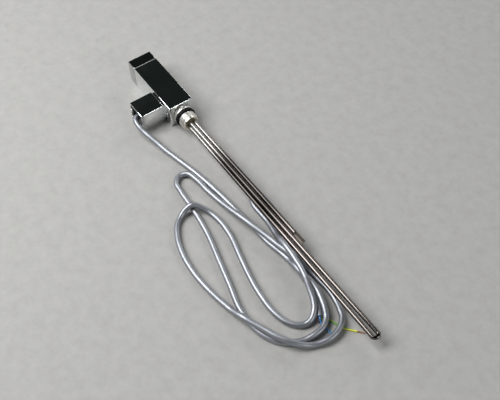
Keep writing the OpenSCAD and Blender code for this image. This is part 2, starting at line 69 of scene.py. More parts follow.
# Route of the lead's sheath, in millimetres, the same points as in the part's source
CABLE = [
    (26, -44, 18), (26, -54, 18), (27, -58, 18), (30, -61.5, 17.5), (36, -63, 17), (44, -63, 15.5),
    (53, -61.5, 13), (64, -59, 11), (79, -55, 8), (93, -52, 6), (108, -48, 4.5), (121, -45, 4),
    (148, -39, 4), (180, -34, 4), (210, -30.5, 4), (243.3, -28.1, 4), (265.2, -25.7, 4),
    (285.9, -25, 4), (306, -23.3, 4), (321.5, -20.3, 4), (332.2, -18.7, 4.6), (342.7, -18.5, 6.2),
    (347.8, -19.2, 8), (352.7, -19.1, 10.4), (358, -19.4, 11.6), (363, -19.6, 12.2),
    (373.7, -18.2, 12.4), (385.8, -17.2, 12.4), (398.2, -18.1, 11.8), (412.8, -21.9, 10.8),
    (425.4, -26.6, 9.3), (432.2, -30.2, 7.6), (441, -41.5, 7), (443.5, -57, 6.5), (440.5, -73, 4),
    (429, -93.5, 4), (412.5, -105, 4), (389.5, -111.5, 4), (361.5, -110.5, 4), (324, -101, 4),
    (286, -91.5, 4), (248.5, -82, 4), (217, -77, 4), (191, -74.5, 4), (165, -72.5, 4),
    (149.5, -69, 4), (143, -59.5, 4), (147, -49.5, 5.5), (162, -45, 6.5), (185.5, -42, 4),
    (212.9, -38.6, 5.5), (237, -35.3, 9.5), (255.1, -32.4, 12.5), (271.1, -29.1, 12.9),
    (286.1, -25.2, 12.2), (302.6, -21.4, 11.8), (319.9, -18, 11.8), (330.8, -15.4, 12.1),
    (341.1, -13.3, 12.3), (350.9, -11.3, 12.1), (354.8, -10.7, 11.3), (359.7, -9.1, 9.6),
    (368.7, -6.5, 5.5), (377.5, -5, 4.2), (386, -4.5, 4), (404.5, -3.5, 4), (420.5, -5.5, 4),
    (435.3, -10.4, 5.6), (444.5, -14.5, 6.5), (454.5, -27, 7), (458.5, -42, 7), (453, -65, 4.5),
    (445.5, -79, 8.5), (437.5, -87.5, 12), (424, -96.5, 13), (401.5, -106, 12.5),
    (379.5, -115, 12.5), (353, -121, 4.5), (317.5, -127, 4), (285.5, -128.75, 4),
    (249.5, -124.5, 4), (227, -117, 4), (207, -103.5, 4), (200.5, -93.5, 5.5), (198, -82.5, 10.5),
    (199.5, -75, 13), (207, -66, 8.5), (217, -60.5, 5), (232.5, -57, 4), (264.5, -58, 4),
    (294, -65, 4), (323, -72, 4), (358.5, -78, 4), (394.5, -78, 4), (410, -73.5, 4),
    (419.5, -66.5, 4), (424, -59.5, 4), (425.5, -52, 5.5), (418.1, -38.1, 9.8),
    (407.6, -31.3, 12.5), (395.2, -27.2, 15.5), (384.3, -23.7, 19), (376.6, -21.6, 20.6),
    (365.6, -18.9, 20.6), (352.9, -17.1, 20.6), (339, -15.3, 20.6), (331, -14.7, 20.5),
    (324.4, -14.1, 19.9), (320, -13.6, 18.8), (316, -13, 17.8), (311, -12.2, 15.3),
    (306.5, -11.3, 12.2), (290.3, -8, 8), (273.9, -5.2, 5.2), (262, -4.9, 4.5), (236, -1.8, 4),
    (230, 3, 4), (231, 10, 4), (237.5, 13.5, 4), (249, 14, 4), (275, 12, 4), (298, 8.4, 4),
    (312, 5.2, 4), (322, 0.8, 4), (330, -4.5, 4), (338, -8.4, 4), (346, -10.4, 4),
    (352.7, -13.5, 4), (358, -15.4, 4), (366, -17, 4), (376, -18.8, 4), (387, -20.2, 4),
    (399, -22, 4), (408, -25.2, 4), (416.5, -29, 4), (427, -36, 4)]
EARTH = [
    (427.8, -34.97, 3.3), (429.14, -35.86, 3.2), (430.8, -36.1, 2.4), (432.8, -34.6, 1.4),
    (434.4, -31, 1.2), (437, -28, 1.2), (442.6, -26, 1.2), (449.2, -23.9, 1.2), (457.6, -19, 1.2),
    (464, -14.2, 1.2), (469, -9.9, 1.2)]
BLUE = [
    (427.08, -36.06, 5.45), (428.41, -36.94, 5.45), (430.1, -37.8, 4.8), (433, -38.8, 2.4),
    (436, -39.3, 1.3), (440, -39.2, 1.2), (448, -37.8, 1.2), (458, -37, 1.2)]
BROWN = [
    (426.36, -37.14, 3.3), (427.69, -38.03, 3.25), (429.3, -39.2, 2.7), (431.4, -41.1, 1.5)]
COPPER = [(469.1, -9.8, 1.2), (472.6, -6.8, 1), (476, -3.9, 0.9)]


# ---------------------------------------------------------------- camera
def make_camera():
    data = bpy.data.cameras.new("camera")
    cam = bpy.data.objects.new("camera", data)
    bpy.context.scene.collection.objects.link(cam)
    forward = Vector((-0.4632, 0.3322, -0.8216)).normalized()
    right = Vector((0.5828, 0.8126, 0.0)).normalized()
    up = right.cross(forward)
    turn = Matrix((right, up, -forward)).transposed().to_4x4()
    cam.matrix_world = Matrix.Translation(Vector((749.6, -373.9, 919.8)) * MM) @ turn
    data.sensor_fit = "HORIZONTAL"
    data.sensor_width = 36.0
    data.lens = FOCAL_PX * data.sensor_width / IMAGE_PX
    data.clip_start = 0.01
    data.clip_end = 20.0
    bpy.context.scene.camera = cam


# ---------------------------------------------------------------- materials
class Num:
    """A value socket on which Python's operators add Math nodes."""

    def __init__(self, shader, socket):
        self.shader, self.socket = shader, socket

    def _math(self, kind, *values):
        sockets = {i: v for i, v in enumerate(values)}
        return Num(self.shader, self.shader.node("ShaderNodeMath", {"operation": kind}, sockets).outputs[0])

    def __add__(self, other): return self._math("ADD", self, other)
    def __sub__(self, other): return self._math("SUBTRACT", self, other)
    def __mul__(self, other): return self._math("MULTIPLY", self, other)
    def __gt__(self, other): return self._math("GREATER_THAN", self, other)
    def clamp(self): return self._math("MINIMUM", self._math("MAXIMUM", self, 0.0), 1.0)
    def fract(self): return self._math("FRACT", self)


class Finish:
    """One procedural material built round a Principled shader."""

    def __init__(self, name, base, rough, metal=0.0, **fixed):
        self.material = bpy.data.materials.new(name)
        self.material.use_nodes = True
        self.tree = self.material.node_tree
        self.tree.nodes.clear()
        self.out = self.node("ShaderNodeOutputMaterial")
        self.shader = self.node("ShaderNodeBsdfPrincipled")
        self.tree.links.new(self.shader.outputs[0], self.out.inputs[0])
        self.put("Base Color", (*base, 1.0))
        self.put("Roughness", rough)
        self.put("Metallic", metal)
        for key, value in fixed.items():
            self.put(key.replace("_", " "), value)

    def node(self, kind, settings=None, sockets=None):
        made = self.tree.nodes.new(kind)
        for key, value in (settings or {}).items():
            if key == "stops":
                ramp = made.color_ramp
                while len(ramp.elements) < len(value):
                    ramp.elements.new(0.5)
                for element, (place, colour) in zip(ramp.elements, value):
                    element.position = place
                    element.color = (*colour, 1.0) if len(colour) == 3 else colour
            else:
                setattr(made, key, value)
        for key, value in (sockets or {}).items():
            target = made.inputs[key]
            if isinstance(value, Num):
                self.tree.links.new(value.socket, target)
            elif isinstance(value, bpy.types.NodeSocket):
                self.tree.links.new(value, target)
            else:
                target.default_value = value
        return made

    def put(self, socket, value):
        target = self.shader.inputs[socket]
        if isinstance(value, Num):
            value = value.socket
        if isinstance(value, bpy.types.NodeSocket):
            self.tree.links.new(value, target)
        else:
            target.default_value = value

    def place(self, stretch=(1.0, 1.0, 1.0)):
        where = self.node("ShaderNodeTexCoord").outputs["Object"]
        return self.node("ShaderNodeMapping", None, {"Vector": where, "Scale": stretch}).outputs[0]

    def noise(self, scale, stretch=(1.0, 1.0, 1.0), detail=4.0, rough=0.55):
        made = self.node("ShaderNodeTexNoise", None, {
            "Vector": self.place(stretch), "Scale": scale, "Detail": detail, "Roughness": rough})
        return Num(self, made.outputs[0])

    def ramp(self, value, *stops):
        return self.node("ShaderNodeValToRGB", {"stops": stops}, {"Fac": value}).outputs[0]

    def spread(self, value, low, high, out_low, out_high):
        made = self.node("ShaderNodeMapRange", {"clamp": True}, {
            "Value": value, "From Min": low, "From Max": high, "To Min": out_low, "To Max": out_high})
        return Num(self, made.outputs[0])

    def mix(self, mask, first, second):
        made = self.node("ShaderNodeMix", {"data_type": "RGBA"})
        for index, value in ((0, mask), (6, first), (7, second)):
            target = made.inputs[index]
            if isinstance(value, Num):
                value = value.socket
            if isinstance(value, bpy.types.NodeSocket):
                self.tree.links.new(value, target)
            else:
                target.default_value = value if index == 0 else (*value, 1.0)
        return made.outputs[2]

    def bump(self, height, distance, strength=1.0):
        made = self.node("ShaderNodeBump", None, {
            "Height": height, "Distance": distance, "Strength": strength})
        self.put("Normal", made.outputs[0])

    def axis(self, name):
        where = self.node("ShaderNodeTexCoord").outputs["Object"]
        return Num(self, self.node("ShaderNodeSeparateXYZ", None, {"Vector": where}).outputs[name])


def mirror_chrome():
    f = Finish("mirror_chrome", (0.86, 0.87, 0.88), 0.05, 1.0)
    smear = f.noise(22.0, (1.0, 1.8, 1.8), 5.0)
    f.put("Roughness", f.spread(smear, 0.35, 0.7, 0.03, 0.13))
    f.put("Base Color", f.mix(f.spread(smear, 0.3, 0.7, 0.0, 1.0), (0.76, 0.79, 0.79), (0.87, 0.875, 0.88)))
    return f.material


def dark_chrome():
    f = Finish("dark_chrome_cap", (0.55, 0.56, 0.56), 0.03, 1.0)
    smear = f.noise(60.0, detail=5.0)
    f.put("Base Color", f.mix(f.spread(smear, 0.35, 0.7, 0.0, 1.0), (0.5, 0.51, 0.51), (0.62, 0.62, 0.61)))
    f.put("Roughness", f.spread(smear, 0.45, 0.75, 0.02, 0.05))
    return f.material


def moulded_black():
    f = Finish("moulded_black_plastic", (0.012, 0.012, 0.013), 0.42)
    grain = f.noise(2200.0, detail=2.0)
    f.put("Base Color", f.ramp(grain, (0.3, (0.009, 0.009, 0.01)), (0.75, (0.022, 0.022, 0.023))))
    f.put("Roughness", f.spread(grain, 0.3, 0.7, 0.34, 0.5))
    f.bump(grain, 0.00004, 0.5)
    return f.material


def seal_rubber():
    f = Finish("seal_rubber", (0.004, 0.004, 0.005), 0.6, Specular_IOR_Level=0.12)
    bloom = f.noise(120.0, detail=5.0)
    f.put("Base Color", f.ramp(bloom, (0.35, (0.003, 0.003, 0.004)), (0.8, (0.009, 0.009, 0.01))))
    f.put("Roughness", f.spread(bloom, 0.3, 0.7, 0.45, 0.62))
    f.bump(f.noise(1500.0, detail=2.0), 0.00003, 0.4)
    return f.material


def seam_plastic():
    f = Finish("seam_grey", (0.35, 0.35, 0.35), 0.4)
    f.put("Base Color", f.ramp(f.noise(900.0), (0.3, (0.3, 0.3, 0.3)), (0.7, (0.4, 0.4, 0.4))))
    return f.material


def plated_brass():
    f = Finish("plated_brass", (0.72, 0.7, 0.62), 0.24, 1.0)
    wear = f.noise(170.0, (1.0, 1.0, 1.0), 6.0)
    along = f.axis("X")
    end = f.spread(along, 0.0785, 0.084, 0.0, 0.45)
    worn = (f.spread(wear, 0.5, 0.62, 0.0, 0.25) + end * f.spread(wear, 0.3, 0.6, 0.35, 1.0)).clamp()
    f.put("Base Color", f.mix(worn, (0.8, 0.79, 0.75), (0.66, 0.58, 0.4)))
    f.put("Roughness", f.spread(wear, 0.3, 0.75, 0.27, 0.36))
    f.bump(f.noise(1400.0, (0.15, 1.0, 1.0), 3.0), 0.00003, 0.2)
    return f.material


def braze():
    f = Finish("braze_fillet", (0.55, 0.45, 0.28), 0.4, 1.0)
    tone = f.noise(500.0, detail=5.0)
    f.put("Base Color", f.ramp(tone, (0.3, (0.28, 0.22, 0.15)), (0.7, (0.62, 0.52, 0.34))))
    f.put("Roughness", f.spread(tone, 0.3, 0.7, 0.3, 0.6))
    f.bump(tone, 0.00015, 0.7)
    return f.material


def drawn_tube():
    f = Finish("bright_drawn_tube", (0.4, 0.38, 0.35), 0.12, 1.0)
    along = f.axis("X") + f.noise(9.0, (1.0, 0.2, 0.2), 2.0) * 0.06 - 0.03
    patch = f.noise(14.0, (0.5, 1.0, 1.0), 3.0)
    # Warm heat tint along the tube, with a painted reflection: bright near the nipple, dark in the middle,
    # lighter towards the bend
    tint_and_painted_reflection = f.ramp(along * 2.0, (0.26, (0.27, 0.262, 0.25)), (0.36, (0.03, 0.028, 0.026)),
                  (0.52, (0.025, 0.023, 0.021)), (0.62, (0.12, 0.106, 0.1)), (1.0, (0.15, 0.136, 0.125)))
    f.put("Base Color", f.mix(f.spread(patch, 0.45, 0.7, 0.0, 0.5), tint_and_painted_reflection, (0.06, 0.053, 0.048)))
    f.put("Roughness", f.spread(along, 0.12, 0.18, 0.28, 0.14))
    return f.material


def tip_painted_dark_reflection():
    f = Finish("tip_painted_dark_reflection", (0.12, 0.1, 0.09), 0.4, 0.9)
    painted_dark_tone = f.noise(420.0, detail=6.0)
    # The tip's dark colour is a painted reflection of the dark surroundings in its flat faces, with random
    # lighter flecks
    f.put("Base Color", f.ramp(
        painted_dark_tone, (0.3, (0.05, 0.042, 0.038)), (0.62, (0.16, 0.14, 0.12)), (0.85, (0.4, 0.37, 0.33))))
    f.put("Roughness", f.spread(painted_dark_tone, 0.3, 0.7, 0.3, 0.6))
    f.bump(painted_dark_tone, 0.0001, 0.5)
    return f.material


def bright_screw():
    f = Finish("bright_screw", (0.85, 0.85, 0.84), 0.14, 1.0)
    lathe = f.noise(1600.0, detail=3.0)
    f.put("Roughness", f.spread(lathe, 0.3, 0.7, 0.1, 0.26))
    f.bump(lathe, 0.00002, 0.3)
    return f.material


def cable_sheath():
    f = Finish("grey_sheath", (0.25, 0.262, 0.285), 0.4, 0.8,
               IOR=1.6, Coat_Weight=1.0, Coat_Roughness=0.38, Coat_IOR=1.6)
    cloud = f.noise(55.0, detail=4.0)
    dust = f.noise(900.0, detail=5.0)
    clean = f.mix(f.spread(cloud, 0.3, 0.7, 0.0, 1.0), (0.225, 0.24, 0.268), (0.275, 0.29, 0.318))
    f.put("Base Color", f.mix(f.spread(dust, 0.6, 0.78, 0.0, 0.3), clean, (0.36, 0.36, 0.36)))
    f.put("Roughness", f.spread(dust, 0.35, 0.75, 0.42, 0.52))
    f.bump(f.noise(420.0, detail=1.0), 0.00003, 0.2)
    return f.material


def core_skin(name, dark, light):
    f = Finish(name, light, 0.38)
    tone = f.noise(700.0, detail=3.0)
    f.put("Base Color", f.ramp(tone, (0.3, dark), (0.7, light)))
    f.bump(tone, 0.00003, 0.4)
    return f.material


def earth_skin():
    f = Finish("earth_stripe", (0.7, 0.7, 0.1), 0.38)
    uv = f.node("ShaderNodeTexCoord").outputs["UV"]
    split = f.node("ShaderNodeSeparateXYZ", None, {"Vector": uv})
    round_it, along = Num(f, split.outputs[1]), Num(f, split.outputs[0])
    band = (round_it + along * 0.16 + 0.1).fract() > 0.62
    tone = f.noise(600.0, detail=3.0)
    yellow = f.ramp(tone, (0.3, (0.72, 0.68, 0.06)), (0.7, (0.86, 0.83, 0.13)))
    f.put("Base Color", f.mix(band, yellow, (0.12, 0.36, 0.06)))
    return f.material


def stranded_copper():
    f = Finish("stranded_copper", (0.72, 0.36, 0.2), 0.35, 1.0)
    strand = f.noise(2600.0, (0.25, 1.0, 1.0), 2.0)
    f.put("Base Color", f.ramp(strand, (0.3, (0.35, 0.14, 0.07)), (0.7, (0.8, 0.45, 0.27))))
    f.bump(strand, 0.0002, 0.9)
    return f.material


def plain_inner(name, low, high, scale, rough, metal=0.0):
    f = Finish(name, high, rough, metal)
    tone = f.noise(scale, detail=4.0)
    f.put("Base Color", f.ramp(tone, (0.3, low), (0.7, high)))
    f.put("Roughness", f.spread(tone, 0.3, 0.7, rough * 0.8, min(1.0, rough * 1.25)))
    f.bump(tone, 0.00004, 0.4)
    return f.material


# ---------------------------------------------------------------- mesh helpers
def clear_selection():
    if bpy.context.object and bpy.context.object.mode != "OBJECT":
        bpy.ops.object.mode_set(mode="OBJECT")
    bpy.ops.object.select_all(action="DESELECT")


def select_only(obj):
    clear_selection()
    obj.select_set(True)
    bpy.context.view_layer.objects.active = obj


def settle(obj, angle=35.0):
    """Puts a piece's place and turn into its mesh, and smooths it by angle."""
    select_only(obj)
    bpy.ops.object.transform_apply(location=True, rotation=True, scale=True)
    bpy.ops.object.shade_smooth_by_angle(angle=math.radians(angle))
    return obj


def apply_modifiers(obj):
    select_only(obj)
    for name in [m.name for m in obj.modifiers]:
        bpy.ops.object.modifier_apply(modifier=name)


def block(name, low, high):
    clear_selection()
    centre = [(a + b) / 2 * MM for a, b in zip(low, high)]
    bpy.ops.mesh.primitive_cube_add(size=1.0, location=centre)
    obj = bpy.context.object
    obj.name = name
    obj.scale = [(b - a) * MM for a, b in zip(low, high)]
    bpy.ops.object.transform_apply(location=True, rotation=True, scale=True)
    return obj


def pick_faces(obj, test):
    """Selects the faces whose centre and normal pass the test, in edit mode's own selection."""
    select_only(obj)
    bpy.ops.object.mode_set(mode="EDIT")
    bpy.ops.mesh.select_mode(type="FACE")
    bpy.ops.mesh.select_all(action="DESELECT")
    bpy.ops.object.mode_set(mode="OBJECT")
    for face in obj.data.polygons:
        face.select = bool(test(face.center / MM, face.normal))
    bpy.ops.object.mode_set(mode="EDIT")


def leave_edit():
    bpy.ops.object.mode_set(mode="OBJECT")


def round_edges(obj, width, segments=4, angle=40.0):
    cut = obj.modifiers.new("edges", "BEVEL")
    cut.width = width * MM
    cut.segments = segments
    cut.limit_method = "ANGLE"
    cut.angle_limit = math.radians(angle)
    cut.harden_normals = False
    apply_modifiers(obj)


def wide_edge(obj, test, width):
    """Rounds only the edges whose two ends both pass the test."""
    select_only(obj)
    bpy.ops.object.mode_set(mode="EDIT")
    bpy.ops.mesh.select_mode(type="EDGE")
    bpy.ops.mesh.select_all(action="DESELECT")
    bpy.ops.object.mode_set(mode="OBJECT")
    for edge in obj.data.edges:
        ends = [obj.data.vertices[i].co / MM for i in edge.vertices]
        edge.select = all(test(end) for end in ends)
    bpy.ops.object.mode_set(mode="EDIT")
    bpy.ops.mesh.bevel(offset=width * MM, segments=5, affect="EDGES")
    leave_edit()


def cut_away(obj, cutter):
    tool = obj.modifiers.new("cut", "BOOLEAN")
    tool.operation = "DIFFERENCE"
    tool.solver = "EXACT"
    tool.object = cutter
    apply_modifiers(obj)
    bpy.data.objects.remove(cutter, do_unlink=True)


def cylinder(name, radius, length, centre, along, sides=64):
    clear_selection()
    turn = {"X": (0.0, math.pi / 2, 0.0), "Y": (math.pi / 2, 0.0, 0.0)}[along]
    bpy.ops.mesh.primitive_cylinder_add(
        vertices=sides, radius=radius * MM, depth=length * MM,
        location=[c * MM for c in centre], rotation=turn)
    obj = bpy.context.object
    obj.name = name
    bpy.ops.object.transform_apply(location=True, rotation=True, scale=True)
    return obj


def turned(name, profile, centre, sides=96):
    """Spins a profile of (place along X, radius) pairs, in millimetres, into a closed solid."""
    mesh = bpy.data.meshes.new(name)
    verts = [(place * MM, radius * MM, 0.0) for place, radius in profile]
    count = len(verts)
    mesh.from_pydata(verts, [(i, (i + 1) % count) for i in range(count)], [])
    obj = bpy.data.objects.new(name, mesh)
    bpy.context.scene.collection.objects.link(obj)
    spin = obj.modifiers.new("spin", "SCREW")
    spin.axis = "X"
    spin.angle = 2 * math.pi
    spin.steps = spin.render_steps = sides
    spin.use_merge_vertices = True
    spin.merge_threshold = 1e-6
    apply_modifiers(obj)
    select_only(obj)
    bpy.ops.object.mode_set(mode="EDIT")
    bpy.ops.mesh.select_all(action="SELECT")
    bpy.ops.mesh.remove_doubles(threshold=1e-7)
    bpy.ops.mesh.normals_make_consistent(inside=False)
    leave_edit()
    obj.location = [c * MM for c in centre]
    return settle(obj)


def soften(profile, radius, steps=3):
    """Rounds each corner of a closed profile by a small radius."""
    out = []
    count = len(profile)
    for i, here in enumerate(profile):
        before, after = Vector(profile[i - 1]), Vector(profile[(i + 1) % count])
        spot = Vector(here)
        back, ahead = before - spot, after - spot
        reach = min(radius, back.length * 0.45, ahead.length * 0.45)
        if reach < 0.02:
            out.append(tuple(spot))
            continue
        start, end = spot + back.normalized() * reach, spot + ahead.normalized() * reach
        for k in range(steps + 1):
            t = k / steps
            out.append(tuple(start * (1 - t) ** 2 + spot * 2 * t * (1 - t) + end * t ** 2))
    return out


def joined(name, pieces):
    clear_selection()
    for piece in pieces:
        piece.select_set(True)
    bpy.context.view_layer.objects.active = pieces[0]
    bpy.ops.object.join()
    pieces[0].name = name
    return pieces[0]


def curve_piece(name, points, radius, resolution, sides):
    """Round lead along smooth points, as a curve with a round bevel."""
    data = bpy.data.curves.new(name, "CURVE")
    data.dimensions = "3D"
    data.resolution_u = resolution
    data.bevel_depth = radius * MM
    data.bevel_resolution = sides
    data.use_fill_caps = True
    line = data.splines.new("BEZIER")
    line.bezier_points.add(len(points) - 1)
    places = [Vector(p) * MM for p in points]
    for i, knot in enumerate(line.bezier_points):
        here = places[i]
        before = places[max(i - 1, 0)]
        after = places[min(i + 1, len(places) - 1)]
        run_in, run_out = (here - before).length, (after - here).length
        course = after - before
        if run_in and run_out:
            course = (after - here) / run_out * run_in + (here - before) / run_in * run_out
        course.normalize()
        knot.co = here
        knot.handle_left_type = knot.handle_right_type = "FREE"
        if (here.z - before.z) * (after.z - here.z) <= 0:
            course.z = 0.0
        back, ahead = here - course * run_in / 3, here + course * run_out / 3
        back.z, ahead.z = max(back.z, radius * MM), max(ahead.z, radius * MM)
        knot.handle_left, knot.handle_right = back, ahead
    obj = bpy.data.objects.new(name, data)
    bpy.context.scene.collection.objects.link(obj)
    return obj


def swept_mesh(name, points, radius, sides=24):
    """Mesh tube along points with a UV map: U along it in tens of millimetres, V round it."""
    places = [Vector(p) * MM for p in points]
    fine = []
    for i in range(len(places) - 1):
        before, here = places[max(i - 1, 0)], places[i]
        after, later = places[i + 1], places[min(i + 2, len(places) - 1)]
        for k in range(6):
            t = k / 6
            fine.append(0.5 * ((2 * here) + (after - before) * t
                               + (2 * before - 5 * here + 4 * after - later) * t * t
                               + (3 * here - before - 3 * after + later) * t ** 3))
    fine.append(places[-1])
    mesh = bpy.data.meshes.new(name)
    work = bmesh.new()
    layer = work.loops.layers.uv.new("UVMap")
    rings, runs, run = [], [], 0.0
    for i, spot in enumerate(fine):
        course = (fine[min(i + 1, len(fine) - 1)] - fine[max(i - 1, 0)]).normalized()
        side = Vector((0, 0, 1)).cross(course).normalized()
        up = course.cross(side)
        if i:
            run += (spot - fine[i - 1]).length
        runs.append(run / MM / 10.0)
        rings.append([work.verts.new(spot + (side * math.cos(a) + up * math.sin(a)) * radius * MM)
                      for a in (2 * math.pi * k / sides for k in range(sides))])
    for i in range(len(rings) - 1):
        for k in range(sides):
            n = (k + 1) % sides
            face = work.faces.new((rings[i][k], rings[i][n], rings[i + 1][n], rings[i + 1][k]))
            spots = ((runs[i], k / sides), (runs[i], (k + 1) / sides),
                     (runs[i + 1], (k + 1) / sides), (runs[i + 1], k / sides))
            for loop, uv in zip(face.loops, spots):
                loop[layer].uv = uv
            face.smooth = True
    work.faces.new(list(reversed(rings[0])))
    work.faces.new(rings[-1])
    bmesh.ops.recalc_face_normals(work, faces=work.faces)
    work.to_mesh(mesh)
    work.free()
    obj = bpy.data.objects.new(name, mesh)
    bpy.context.scene.collection.objects.link(obj)
    return obj


def face_mouth(obj, place):
    """Turns a piece made along X at the origin to face out of the sleeve's mouth, at its place."""
    obj.data.transform(Matrix.Rotation(-math.pi / 2, 4, "Z"))
    obj.data.transform(Matrix.Translation(Vector(place) * MM))


def dress(obj, material, body, slot, *nodes):
    obj.data.materials.clear()
    obj.data.materials.append(material)
    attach(obj, body)
    if nodes:
        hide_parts(*nodes)
    return obj


# ---------------------------------------------------------------- cords first
make_camera()
sheath = curve_piece("lead_sheath", CABLE, CABLE_R, 7, 6)
dress(sheath, cable_sheath(), "head", "cable_grey", "mains_cable")
earth = dress(swept_mesh("earth_lead", EARTH, CORE_R),
              earth_skin(), "head", "core_green_yellow", "earth_core")
blue = dress(swept_mesh("blue_lead", BLUE, CORE_R),
             core_skin("blue_skin", (0.03, 0.16, 0.42), (0.05, 0.25, 0.6)), "head", "core_blue", "blue_core")
brown = dress(swept_mesh("brown_lead", BROWN, CORE_R),
              core_skin("brown_skin", (0.1, 0.045, 0.025), (0.17, 0.08, 0.045)),
              "head", "core_brown", "brown_core")
copper = dress(swept_mesh("copper_strands", COPPER, CORE_R - 0.3),
               stranded_copper(), "head", "copper", "copper_end")

chrome, black, moulded, rubber = mirror_chrome(), dark_chrome(), moulded_black(), seal_rubber()
steel_screw, brass, tube_skin = bright_screw(), plated_brass(), drawn_tube()

# ---------------------------------------------------------------- head
# Shell: a square tube with soft long edges and a crisp front
shell = block("shell_body", (SHELL_REAR, -HEAD_W / 2, 0), (HEAD_FRONT, HEAD_W / 2, HEAD_W))
pick_faces(shell, lambda c, n: n.x < -0.9)
bpy.ops.mesh.inset(thickness=SHELL_WALL * MM)
bpy.ops.mesh.extrude_region_move(
    TRANSFORM_OT_translate={"value": ((HEAD_FRONT - 3 - SHELL_REAR) * MM, 0, 0)})
leave_edit()
cut_away(shell, cylinder("bore", SPIGOT_R + 0.3, 12, (HEAD_FRONT, 0, AXIS_Z), "X", 96))
cut_away(shell, cylinder("screw_hole", SET_HOLE_R, 8, (SET_X, -HEAD_W / 2, AXIS_Z), "Y", 48))
cut_away(shell, block("wire_window", (16.5, -HEAD_W / 2 - 1, 6), (30.5, -HEAD_W / 2 + 3, 30)))
wide_edge(shell, lambda c: c.x > HEAD_FRONT - 0.1 and c.z > HEAD_W - 0.1, WIDE_EDGE)
round_edges(shell, SOFT_EDGE, 4, 60)
dress(settle(shell), chrome, "head", "chrome", "head_shell")

cap = block("cap_body", (HEAD_REAR, -HEAD_W / 2, 0), (CAP_FRONT, HEAD_W / 2, HEAD_W))
round_edges(cap, 1.2, 5, 60)
dress(settle(cap), black, "head", "cap_black", "end_cap")

# Outlet sleeve: a short open box, with the neck that joins it to the head
sleeve = block("sleeve_body", (SLEEVE_X0, SLEEVE_Y1, SLEEVE_Z0), (SLEEVE_X1, SLEEVE_Y0, SLEEVE_Z1))
pick_faces(sleeve, lambda c, n: n.y < -0.9)
bpy.ops.mesh.inset(thickness=SHELL_WALL * MM)
bpy.ops.mesh.extrude_region_move(TRANSFORM_OT_translate={"value": (0, 34.5 * MM, 0)})
leave_edit()
wide_edge(sleeve, lambda c: c.x > SLEEVE_X1 - 0.1 and c.z > SLEEVE_Z1 - 0.1, WIDE_EDGE)
round_edges(sleeve, SOFT_EDGE, 4, 60)
dress(settle(sleeve), chrome, "head", "chrome", "outlet_sleeve")

neck = block("neck_body", (SLEEVE_X0 + 1.5, SLEEVE_Y0, SLEEVE_Z0 + 1.5),
             (SLEEVE_X1 - 1.5, -HEAD_W / 2, SLEEVE_Z1 - 1.5))
dress(settle(neck), chrome, "head", "chrome", "outlet_neck")

# Plate, clamp bar and bush in the sleeve's mouth
plate = block("mouth_plate", (SLEEVE_X0 + 2, SLEEVE_Y1 + 2, SLEEVE_Z0 + 2),
              (SLEEVE_X1 - 2, SLEEVE_Y1 + 9, SLEEVE_Z1 - 2))
cut_away(plate, cylinder("bush_hole", BUSH_HOLE_R, 12, (LEAD_X, SLEEVE_Y1 + 5, LEAD_Z), "Y", 64))
round_edges(plate, 0.5, 3, 60)
dress(settle(plate), moulded, "head", "plastic_black", "cable_plate")

bar = block("screw_bar", (13.7, SLEEVE_Y1 - 0.5, 5), (20.3, SLEEVE_Y1 + 2, 31))
round_edges(bar, SOFT_EDGE, 4, 60)
dress(settle(bar), moulded, "head", "plastic_black", "clamp_bar")

bush = turned("lead_bush", soften([
    (-8, 4.02), (-8, 6.9), (-6.2, 6.9), (-6.2, 5.38), (0.9, 5.38), (0.9, 4.02)], 0.4), (0, 0, 0), 64)
face_mouth(bush, (LEAD_X, SLEEVE_Y1 + 3, LEAD_Z))
dress(settle(bush), rubber, "head", "rubber_black", "cable_bush")


def cross_screw(name, z):
    head = turned(name, soften([
        (-0.05, 0.0), (-0.05, 2.4), (0.9, 2.35), (1.75, 1.6), (2.05, 0.0)], 0.25, 4), (0, 0, 0), 48)
    shank = cylinder(name + "_shank", 1.5, 9, (-4.4, 0, 0), "X", 32)
    both = joined(name, [head, shank])
    face_mouth(both, (CLAMP_X, SLEEVE_Y1 - 0.5, z))
    for size in ((3.2, 0.55), (0.55, 3.2)):
        slot = block("slot", (CLAMP_X - size[0] / 2, SLEEVE_Y1 - 4, z - size[1] / 2),
                     (CLAMP_X + size[0] / 2, SLEEVE_Y1 - 1.4, z + size[1] / 2))
        cut_away(both, slot)
    return settle(both)


dress(cross_screw("upper_screw", CLAMP_Z[0]), steel_screw,
      "clamp_screw_a", "screw_steel", "clamp_screw_upper")
dress(cross_screw("lower_screw", CLAMP_Z[1]), steel_screw,
      "clamp_screw_b", "screw_steel", "clamp_screw_lower")

grub = cylinder("grub", 2.0, 9.0, (SET_X, -14.2, AXIS_Z), "Y", 48)
key = cylinder("key_socket", 1.15, 6, (SET_X, -HEAD_W / 2, AXIS_Z), "Y", 6)
cut_away(grub, key)
round_edges(grub, 0.2, 2, 50)
dress(settle(grub), steel_screw, "grub_screw", "screw_steel", "set_screw")

# ---------------------------------------------------------------- nipple
body = turned("nipple_body", soften([
    (SPIGOT_X0, BORE_R), (SPIGOT_X0, SPIGOT_R), (GROOVE_X0, SPIGOT_R), (GROOVE_X0, GROOVE_R),
    (GROOVE_X1, GROOVE_R), (GROOVE_X1, SPIGOT_R),
    (COLLAR_X0, SPIGOT_R), (COLLAR_X0, COLLAR_R), (COLLAR_X1, COLLAR_R), (COLLAR_X1, FLANGE_R),
    (FLANGE_X1, FLANGE_R), (FLANGE_X1, SEAT_R), (GASKET_X1 + 0.1, SEAT_R), (GASKET_X1 + 0.5, ROOT_R),
    (THREAD_X1 - 0.3, ROOT_R), (THREAD_X1 + 0.1, RIM_R), (RIM_X1, RIM_R),
    (RIM_X1, BORE_R)], 0.45), (0, 0, AXIS_Z), NIPPLE_SIDES)

